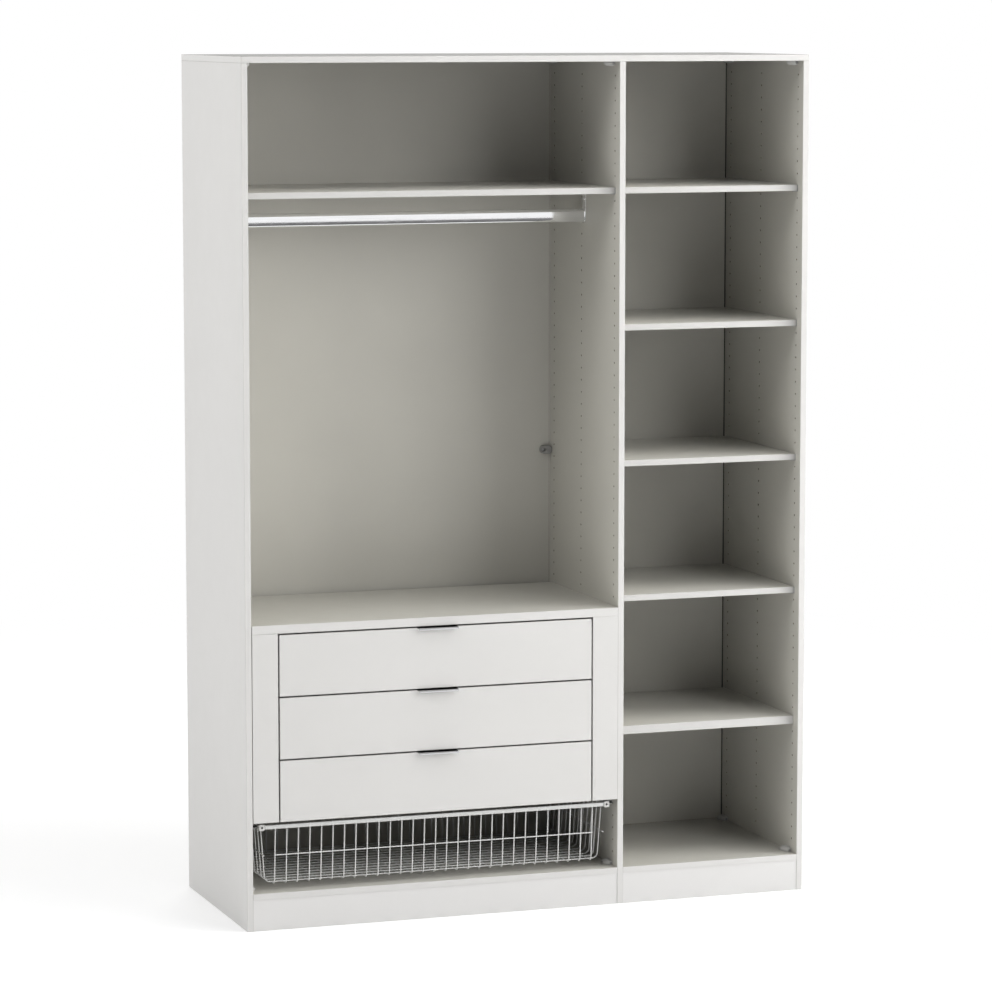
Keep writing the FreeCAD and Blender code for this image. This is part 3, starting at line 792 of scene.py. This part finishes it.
front = bmesh.new()
for slit, thin in ((bar_slit, 0), (0, core_inset)):
    low = Vector((cap_low.x + cap_width + slit, bar_low.y + thin, bar_high.z - bar_height + thin))
    high = Vector((cap_high.x - cap_width - slit, bar_back - thin, bar_high.z - thin))
    eased_box(front, low, high, bar_ease, steps=3)
wall_wires(front, front_top, wall_lean)
for x in columns:
    nugget(front, x, mid_front + wire_radius, mid_level)
ends = (columns[0] - wire_radius, columns[-1] + wire_radius)
wire(front, [Vector((x, mid_front, mid_level)) for x in ends])
piece("basket_front_wires", front, (white_powder,), "basket", "white_wire", "basket_front_panel")

back = bmesh.new()
ends = (side_rim, 2 * middle_x - side_rim)
wire(back, [Vector((x, back_rim, rim_level)) for x in ends], rim_radius)
wall_wires(back, back_top, -wall_lean)
piece("basket_back_wires", back, (white_powder,), "basket", "white_wire", "basket_back_panel")

for hand, way in (("left", 1), ("right", -1)):
    rim_x, top_x, foot_x, mid_x, weld_x = (
        middle_x + way * (x - middle_x)
        for x in (side_rim, side_top, side_top + wall_lean, mid_side, mid_side + wire_radius)
    )
    side = bmesh.new()
    ends = (cap_high.y, back_rim + rim_radius)
    wire(side, [Vector((rim_x, y, rim_level)) for y in ends], rim_radius)
    for y in wire_rows:
        start, corner = Vector((top_x, y, wire_top)), Vector((foot_x, y, long_level))
        wire(side, bent(start, corner, Vector((middle_x, y, long_level)), long_bend))
        nugget(side, weld_x, y, mid_level)
    ends = (mid_front, wire_rows[-1] + 2 * wire_radius)
    wire(side, [Vector((mid_x, y, mid_level)) for y in ends])
    piece(f"basket_{hand}_wires", side, (white_powder,), "basket", "white_wire", f"basket_{hand}_panel")

mesh_floor = bmesh.new()
ends = (floor_low.y - floor_lap, floor_high.y + floor_lap)
for x in columns:
    wire(mesh_floor, [Vector((x, y, cross_level)) for y in ends])
    for y in wire_rows:
        nugget(mesh_floor, x, y, (cross_level + long_level) / 2)
ends = (floor_low.x - floor_lap, floor_high.x + floor_lap)
for y in wire_rows:
    wire(mesh_floor, [Vector((x, y, long_level)) for x in ends])
piece("basket_floor_mesh", mesh_floor, (white_powder,), "basket", "white_wire", "basket_floor_wires")

cap_eye, cap_sunk, cap_ease, cap_ease_steps = 0.0027, 0.012, 0.001, 3
cap_sides, cap_square, cap_round = 32, 8, 2


def cap_ring(bm, x, y, wide, tall, power):
    """Ring about a cap's line: a rounded square for a high power, a circle for 2."""
    ring = []
    for across, up in circle(cap_sides):
        reach = (abs(across) ** power + abs(up) ** power) ** (-1 / power)
        level = (cap_low.z + cap_high.z) / 2 + tall * reach * up
        ring.append(bm.verts.new((x + wide * reach * across, y, level)))
    return ring


caps = bmesh.new()
wide, tall = cap_width / 2, (cap_high.z - cap_low.z) / 2
for x in (cap_low.x + wide, cap_high.x - wide):
    rings = [cap_ring(caps, x, cap_high.y, wide, tall, cap_square)]
    for across, up in arc(0, pi / 2, cap_ease_steps):
        inset, rise = cap_ease * (1 - across), cap_ease * (1 - up)
        rings.append(cap_ring(caps, x, cap_low.y + rise, wide - inset, tall - inset, cap_square))
    for depth in (0, cap_sunk):
        rings.append(cap_ring(caps, x, cap_low.y + depth, cap_eye, cap_eye, cap_round))
    closed_skin(caps, rings, smooth=True)
outward(caps)
crisp(caps, moulding_crease)
piece("basket_cap_pair", caps, (white_moulding,), "basket", "white_plastic", "basket_end_caps")
dress("basket_runners", white_epoxy, runner_ease)

# Studio: a floor of pale paper, large soft lamps all round and a white surround, as for a picture of
# furniture cut out on white. None of it belongs to the wardrobe.
scene = bpy.context.scene
floor_white = (0.86, 0.86, 0.86, 1)
plain_white = (1, 1, 1, 1)
floor_size = 40.0
fill_strength, camera_lift = 0.29, 0.08
paper_near, paper_far = 2.0, 5.0


def stage_piece(name, bm, material):
    """Object of the studio from finished mesh code."""
    mesh = bpy.data.meshes.new(name)
    bm.to_mesh(mesh)
    bm.free()
    mesh.materials.append(material)
    made = bpy.data.objects.new(name, mesh)
    scene.collection.objects.link(made)
    return made


def seen_rays(tree):
    """One for rays from the camera, a mirror or glass, so that these meet plain white."""
    rays = add(tree, "LightPath").outputs
    seen = combine(tree, "MAXIMUM", rays["Is Camera Ray"], rays["Is Glossy Ray"])
    return combine(tree, "MAXIMUM", seen, rays["Is Transmission Ray"])


# The paper glows a little as a fill from below. The camera sees it lifted to about white, with the
# wardrobe's soft shadow on it, and plain white further off.
floor_paper = bpy.data.materials.new("floor_paper")
floor_paper.use_nodes = True
tree = floor_paper.node_tree
tree.nodes.clear()
paper = add(tree, "BsdfDiffuse", {"Color": floor_white})
camera_ray = add(tree, "LightPath").outputs["Is Camera Ray"]
lift = add(tree, "Math", {0: camera_ray, 1: camera_lift, 2: fill_strength}, operation="MULTIPLY_ADD")
glow = add(tree, "Emission", {"Color": plain_white, "Strength": lift.outputs[0]})
lit = add(tree, "AddShader", {0: paper.outputs[0], 1: glow.outputs[0]})
plain = add(tree, "Emission", {"Color": plain_white, "Strength": 1.0})
place = add(tree, "TexCoord").outputs["Object"]
spread = add(tree, "VectorMath", {0: place}, operation="LENGTH").outputs["Value"]
fade = {"Value": spread, "From Min": paper_near, "From Max": paper_far}
fade = add(tree, "MapRange", fade, interpolation_type="SMOOTHSTEP").outputs[0]
far = combine(tree, "MULTIPLY", fade, seen_rays(tree))
shown = add(tree, "MixShader", {0: far, 1: lit.outputs[0], 2: plain.outputs[0]})
add(tree, "OutputMaterial", {"Surface": shown.outputs[0]})
ground = bmesh.new()
bmesh.ops.create_grid(ground, x_segments=1, y_segments=1, size=floor_size)
stage_piece("studio_floor", ground, floor_paper)

# A dark card hangs level in front of the wardrobe and shows in the metal alone, as the dark edge that
# the photograph has along the lower curve of the rail.
card_dark = (0.06, 0.06, 0.06, 1)
card_level, card_half, card_near, card_far = 0.95, 4.0, -0.8, -8.0
dark_paper = bpy.data.materials.new("dark_card")
dark_paper.use_nodes = True
dark_paper.node_tree.nodes["Principled BSDF"].inputs["Base Color"].default_value = card_dark
sheet = bmesh.new()
corners = ((-card_half, card_far), (card_half, card_far), (card_half, card_near), (-card_half, card_near))
sheet.faces.new([sheet.verts.new((x, y, card_level)) for x, y in corners])
card = stage_piece("dark_card", sheet, dark_paper)
card.visible_camera = card.visible_diffuse = card.visible_transmission = card.visible_shadow = False

# The surround lights from above like a wide softbox, and shows as plain white.
sky_strength = 0.5
surround = bpy.data.worlds.new("studio_surround")
scene.world = surround
surround.use_nodes = True
tree = surround.node_tree
tree.nodes.clear()
height = add(tree, "SeparateXYZ", {0: add(tree, "TexCoord").outputs["Generated"]}).outputs["Z"]
above = ranged(tree, height, 0.0, sky_strength, start=0.0, end=1.0)
soft = add(tree, "Background", {"Color": plain_white, "Strength": above})
white = add(tree, "Background", {"Color": plain_white, "Strength": 1.0})
mixed = add(tree, "MixShader", {0: seen_rays(tree), 1: soft.outputs[0], 2: white.outputs[0]})
add(tree, "OutputWorld", {"Surface": mixed.outputs[0]})

lamp_reach, lamp_size = 6.0, 2.6
lamp_aim = Vector((0, 0, 1.1))


def lamp(name, turn, rise, watts):
    """Square soft lamp round the wardrobe, given in degrees from straight ahead to the right, and up."""
    turn, rise = radians(turn), radians(rise)
    light = bpy.data.lights.new(name, "AREA")
    light.size, light.energy = lamp_size, watts
    made = bpy.data.objects.new(name, light)
    away = Vector((sin(turn) * cos(rise), -cos(turn) * cos(rise), sin(rise)))
    made.location = lamp_aim + lamp_reach * away
    made.rotation_euler = (-away).to_track_quat("-Z", "Y").to_euler()
    made.visible_glossy = False
    scene.collection.objects.link(made)


lamp("left_lamp", turn=-90, rise=22, watts=80)
lamp("front_right_lamp", turn=30, rise=22, watts=75)
lamp("right_lamp", turn=60, rise=4, watts=135)
lamp("high_right_lamp", turn=60, rise=45, watts=98)
lamp("high_left_lamp", turn=-60, rise=45, watts=46)
lamp("rear_lamp", turn=170, rise=30, watts=90)
scene.cycles.diffuse_bounces = 1

# Camera: a long lens on a high stand, ten metres off to the front left and just above the level of
# the top, turned a little down to the wardrobe.
lens = bpy.data.cameras.new("photo_camera")
lens.lens = 146.27
lens.sensor_width = 36.0
lens.clip_end = 200.0
camera = bpy.data.objects.new("photo_camera", lens)
yaw, pitch = radians(19.29), radians(6.856)
camera.location = (-3.4662, -9.9054, 2.3105)
ahead = Vector((sin(yaw) * cos(pitch), cos(yaw) * cos(pitch), -sin(pitch)))
camera.rotation_euler = ahead.to_track_quat("-Z", "Y").to_euler()
scene.collection.objects.link(camera)
scene.camera = camera
scene.view_settings.view_transform = "Standard"
